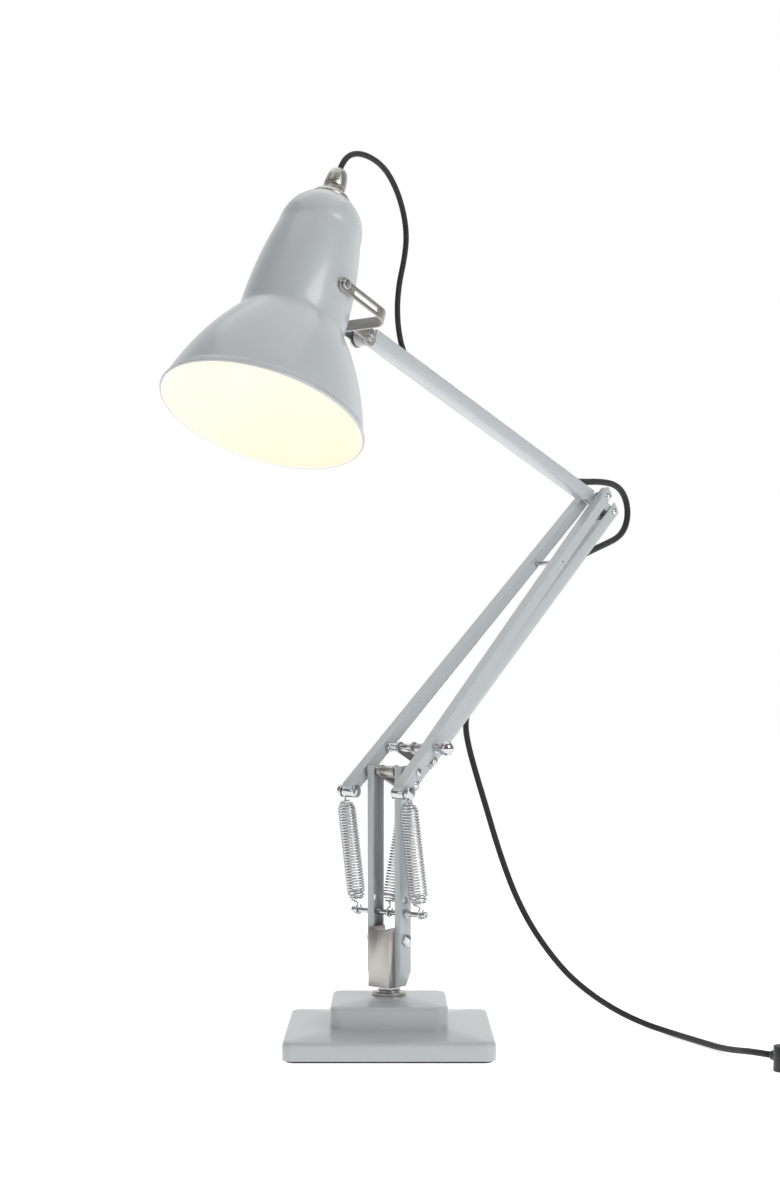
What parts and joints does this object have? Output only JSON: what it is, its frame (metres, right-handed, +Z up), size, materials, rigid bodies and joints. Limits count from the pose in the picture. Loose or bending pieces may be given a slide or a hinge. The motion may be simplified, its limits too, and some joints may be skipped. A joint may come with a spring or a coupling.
{
  "type": "architect desk lamp",
  "caption": "Sprung desk lamp with a stepped square base, swivelling fork, parallel lower arms and control link, square upper arm and spun shade on a yoke.",
  "frame": {"origin": "middle of the base's underside, on the table", "axes": "+Z up; the base's sides lie along X and Y; +Y is away from the viewer of the rest pose"},
  "size_m": [0.6167, 0.4441, 0.6481],
  "materials": {
    "paint": "satin",
    "shade_paint": "satin outside, warm cream inside",
    "iron": "rough",
    "pad": "matt",
    "nickel": "bright",
    "bright": "polished",
    "spring_wire": "polished",
    "moulding": "satin",
    "lead": "braided",
    "tie": "matt",
    "bulb": "frosted",
    "lamp_cap": "satin"
  },
  "bodies": {
    "base": {"base_cover": "paint", "base_weight": "iron", "base_pad": "pad", "spindle_bush": "nickel", "switch_housing": "moulding", "lead_coil": "lead", "coil_tie": "tie", "plug_body": "moulding", "plug_pins": "bright", "mains_lead_floor": "lead", "mains_lead_coil_end": "lead", "mains_lead_plug_end": "lead"},
    "fork": {"spindle": "bright", "fork_shoe": "nickel", "fork_upright_near": "paint", "fork_upright_far": "paint", "fork_screws": "bright", "main_pivot_shaft": "bright", "shaft_spacers": "nickel", "spring_rod": "bright", "spring_near": "spring_wire", "spring_far": "spring_wire", "spring_centre": "spring_wire"},
    "lower_arm": {"lower_arm_near": "paint", "lower_arm_far": "paint", "pivot_washers": "nickel", "spring_anchors": "bright", "friction_bar": "bright", "tie_bar": "bright", "elbow_pin": "bright", "elbow_spacers": "nickel"},
    "crank": {"crank_plates": "nickel", "crank_hub": "nickel", "crank_pin": "bright"},
    "friction_link": {"friction_plates": "nickel"},
    "knob": {"friction_knob": "bright"},
    "upper_arm": {"upper_arm_tube": "paint", "elbow_bracket": "nickel", "head_tongue": "nickel", "head_lead_lower": "lead", "elbow_lead": "lead"},
    "link": {"link_foot": "nickel", "link_bolt": "bright", "link_tube": "paint", "link_top_pin": "bright", "mains_lead_hanging": "lead"},
    "yoke": {"shade_yoke": "nickel", "yoke_hinge_screw": "bright", "yoke_hinge_nut": "bright"},
    "shade": {"shade": "shade_paint", "shade_cap": "nickel", "cord_gland": "nickel", "lampholder": "moulding", "bulb_cap": "lamp_cap", "bulb_glass": "bulb", "shade_pivot_screws": "bright", "pivot_screw_washers": "nickel", "head_lead_upper": "lead"},
    "rocker": {"switch_rocker": "moulding"}
  },
  "joints": [
    {"name": "swivel", "type": "hinge", "parent": "base", "child": "fork", "pos_m": [0, 0, 0.04], "axis": [0, 0, 1], "range_deg": [-180, 180], "deforming": ["mains_lead_hanging"]},
    {"name": "shoulder", "type": "hinge", "parent": "fork", "child": "lower_arm", "pos_m": [0, 0, 0.2002], "axis": [0.788, -0.6157, 0], "range_deg": [-20, 35], "deforming": ["spring_near", "spring_far"]},
    {"name": "elbow", "type": "hinge", "parent": "lower_arm", "child": "upper_arm", "pos_m": [0.17267, 0.22101, 0.42059], "axis": [0.788, -0.6157, 0], "range_deg": [-50, 20]},
    {"name": "crank_turn", "type": "hinge", "parent": "lower_arm", "child": "crank", "pos_m": [0, 0, 0.2002], "axis": [0.788, -0.6157, 0], "range_deg": [-50, 20], "deforming": ["spring_centre"]},
    {"name": "friction_plate_turn", "type": "hinge", "parent": "lower_arm", "child": "friction_link", "pos_m": [0.01322, 0.01691, 0.21707], "axis": [0.788, -0.6157, 0], "range_deg": [-50, 20]},
    {"name": "link_top", "type": "hinge", "parent": "upper_arm", "child": "link", "pos_m": [0.18651, 0.23873, 0.41027], "axis": [0.788, -0.6157, 0], "range_deg": [-20, 50], "deforming": ["elbow_lead"]},
    {"name": "knob_turn", "type": "hinge", "parent": "lower_arm", "child": "knob", "pos_m": [0.01322, 0.01691, 0.21707], "axis": [0.788, -0.6157, 0], "range_deg": [-90, 180]},
    {"name": "yoke_hinge", "type": "hinge", "parent": "upper_arm", "child": "yoke", "pos_m": [-0.01911, -0.02445, 0.51399], "axis": [0.788, -0.6157, 0], "range_deg": [-45, 45], "deforming": ["head_lead_lower"]},
    {"name": "shade_tilt", "type": "hinge", "parent": "yoke", "child": "shade", "pos_m": [-0.06098, -0.07805, 0.53701], "axis": [0.788, -0.6157, 0], "range_deg": [-35, 30], "deforming": ["head_lead_upper"]},
    {"name": "rocker_tilt", "type": "hinge", "parent": "base", "child": "rocker", "pos_m": [0.28875, -0.114, 0.0142], "axis": [0.7433, 0.669, 0], "range_deg": [-16, 0]}
  ],
  "couplings": [
    {"joint": "crank_turn", "follows": "elbow", "ratio": 1},
    {"joint": "friction_plate_turn", "follows": "elbow", "ratio": 1},
    {"joint": "link_top", "follows": "elbow", "ratio": -1}
  ]
}
